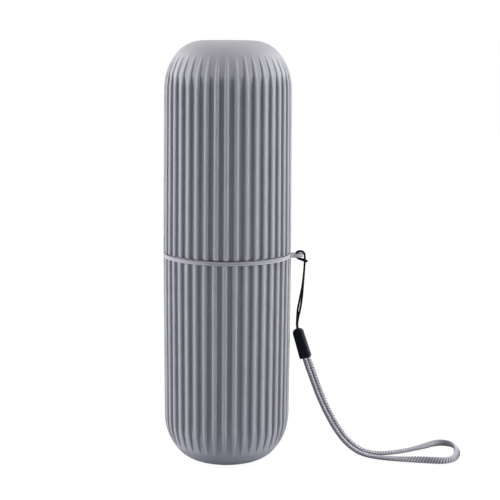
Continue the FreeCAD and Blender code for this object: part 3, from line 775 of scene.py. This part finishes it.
# Floor: plain white ground, drawn out flat under the object. The camera sees it white, with only
# a trace of the object's shadow, and reflections see it dimmed and only behind the object.
floor_size = 6.0
floor_drop = 0.0002
floor_mesh = bpy.data.meshes.new("floor")
floor_mesh.from_pydata(
    [(-floor_size, -floor_size, -floor_drop), (floor_size, -floor_size, -floor_drop),
     (floor_size, floor_size, -floor_drop), (-floor_size, floor_size, -floor_drop)], [], [(0, 1, 2, 3)])


def seen_directly(tree, mirrored):
    """1 where the camera or a view through something meets the surface, and the given share
    in reflections."""
    path = put(tree, "ShaderNodeLightPath").outputs
    glossy = put(tree, "ShaderNodeMath", {0: path["Is Glossy Ray"], 1: mirrored}, operation="MULTIPLY")
    either = put(tree, "ShaderNodeMath", {
        0: path["Is Camera Ray"], 1: glossy.outputs[0]}, operation="MAXIMUM")
    any_of = put(tree, "ShaderNodeMath", {
        0: either.outputs[0], 1: path["Is Transmission Ray"]}, operation="MAXIMUM")
    return any_of.outputs[0]


floor_white = bpy.data.materials.new("white floor")
floor_white.use_nodes = True
floor_tree = floor_white.node_tree
floor_tree.nodes.remove(floor_tree.nodes["Principled BSDF"])
floor_paint = put(floor_tree, "ShaderNodeBsdfDiffuse", {"Color": (0.40, 0.412, 0.48, 1)}).outputs[0]
floor_trace = put(floor_tree, "ShaderNodeBsdfDiffuse", {"Color": (0.09, 0.09, 0.09, 1)}).outputs[0]
floor_place = put(floor_tree, "ShaderNodeTexCoord").outputs["Object"]
floor_far = put(floor_tree, "ShaderNodeVectorMath", {0: floor_place}, operation="LENGTH").outputs["Value"]
floor_level = put(floor_tree, "ShaderNodeMapRange", {
    "Value": floor_far, "From Min": 0.2, "From Max": 0.8, "To Min": 0.94, "To Max": 1.0}).outputs[0]
floor_depth = put(floor_tree, "ShaderNodeSeparateXYZ", {0: floor_place}).outputs["Y"]
floor_behind = put(floor_tree, "ShaderNodeMapRange", {
    "Value": floor_depth, "From Min": -0.05, "From Max": 0.05, "To Max": 0.4}).outputs[0]
floor_clear = put(floor_tree, "ShaderNodeMapRange", {
    "Value": floor_far, "From Min": 0.014, "From Max": 0.06}).outputs[0]
floor_open = put(floor_tree, "ShaderNodeMath", {
    0: floor_behind, 1: floor_clear}, operation="MULTIPLY").outputs[0]
floor_glow = put(floor_tree, "ShaderNodeEmission", {
    "Color": (1, 1, 1, 1), "Strength": floor_level}).outputs[0]
floor_lit = put(floor_tree, "ShaderNodeAddShader", {0: floor_trace, 1: floor_glow}).outputs[0]
floor_mix = put(floor_tree, "ShaderNodeMixShader", {
    0: seen_directly(floor_tree, floor_open), 1: floor_paint, 2: floor_lit}).outputs[0]
floor_tree.links.new(floor_mix, floor_tree.nodes["Material Output"].inputs["Surface"])
floor_mesh.materials.append(floor_white)
link("floor", floor_mesh)


# Light: a backdrop that the camera sees white and reflections see dimmed, and soft boxes about the
# object. Each box is given by the side it stands on, its height angle, its width and height, and
# its power.
surround = bpy.data.worlds.new("surround")
bpy.context.scene.world = surround
surround.use_nodes = True
sky_tree = surround.node_tree
sky_tree.nodes.remove(sky_tree.nodes["Background"])
sky_dim = put(sky_tree, "ShaderNodeBackground", {"Color": (1, 1, 1, 1), "Strength": 0.11}).outputs[0]
sky_white = put(sky_tree, "ShaderNodeBackground", {"Color": (1, 1, 1, 1), "Strength": 1.0}).outputs[0]
sky_place = put(sky_tree, "ShaderNodeTexCoord").outputs["Generated"]
sky_depth = put(sky_tree, "ShaderNodeSeparateXYZ", {0: sky_place}).outputs["Y"]
sky_behind = put(sky_tree, "ShaderNodeMapRange", {
    "Value": sky_depth, "From Min": -0.35, "From Max": 0.25, "To Max": 0.4}).outputs[0]
sky_mix = put(sky_tree, "ShaderNodeMixShader", {
    0: seen_directly(sky_tree, sky_behind), 1: sky_dim, 2: sky_white}).outputs[0]
sky_tree.links.new(sky_mix, sky_tree.nodes["World Output"].inputs["Surface"])

light_distance = 1.2
aim = Vector((0.0, 0.0, 0.11))
soft_boxes = [
    ("left_box", -84, 15, 0.6, 0.9, 15.6),
    ("left_front_box", -62, 18, 0.5, 0.9, 2.1),
    ("right_box", 80, 15, 0.5, 0.9, 10.4),
    ("right_front_box", 62, 18, 0.5, 0.9, 2.6),
    ("left_back_box", -125, 20, 0.5, 0.9, 6.4),
    ("right_back_box", 125, 20, 0.5, 0.9, 7.6),
    ("high_right_box", 80, 55, 0.7, 0.7, 4.4),
    ("high_back_box", 180, 55, 0.8, 0.7, 3.2),
]
for name, side, climb, width, height, power in soft_boxes:
    turn, rise = math.radians(side), math.radians(climb)
    away = Vector((math.sin(turn) * math.cos(rise), -math.cos(turn) * math.cos(rise), math.sin(rise)))
    lamp = bpy.data.lights.new(name, "AREA")
    lamp.shape = "RECTANGLE"
    lamp.size, lamp.size_y = width, height
    lamp.energy = power
    stand = link(name, lamp)
    stand.location = aim + away * light_distance
    stand.rotation_mode = "QUATERNION"
    stand.rotation_quaternion = away.to_track_quat("Z", "Y")


# Camera: a long lens a little above the middle of the case, tipped down and a trace off level,
# fitted to the outlines in the photograph.
camera_turn = math.radians(2.1)
camera_distance = 0.7476
camera_height = 0.2277
camera_pan = math.radians(0.875)
camera_dip = math.radians(9.145)
camera_roll = math.radians(0.396)
focal_pixels = 1507.9
frame_pixels = 500

right = Vector((math.cos(camera_turn), math.sin(camera_turn), 0))
ahead = Vector((-math.sin(camera_turn), math.cos(camera_turn), 0))
upright = Vector((0, 0, 1))
eye = upright * camera_height - ahead * camera_distance
level_ahead = ahead * math.cos(camera_pan) + right * math.sin(camera_pan)
level_right = right * math.cos(camera_pan) - ahead * math.sin(camera_pan)
look = level_ahead * math.cos(camera_dip) - upright * math.sin(camera_dip)
tipped_up = upright * math.cos(camera_dip) + level_ahead * math.sin(camera_dip)
camera_right = level_right * math.cos(camera_roll) + tipped_up * math.sin(camera_roll)
camera_up = tipped_up * math.cos(camera_roll) - level_right * math.sin(camera_roll)

lens = bpy.data.cameras.new("camera")
lens.sensor_width = 36.0
lens.lens = lens.sensor_width * focal_pixels / frame_pixels
lens.clip_start, lens.clip_end = 0.05, 20.0
camera = link("camera", lens)
camera.matrix_world = Matrix((
    (camera_right.x, camera_up.x, -look.x, eye.x),
    (camera_right.y, camera_up.y, -look.y, eye.y),
    (camera_right.z, camera_up.z, -look.z, eye.z),
    (0, 0, 0, 1)))
bpy.context.scene.camera = camera
bpy.context.scene.view_settings.view_transform = "Standard"
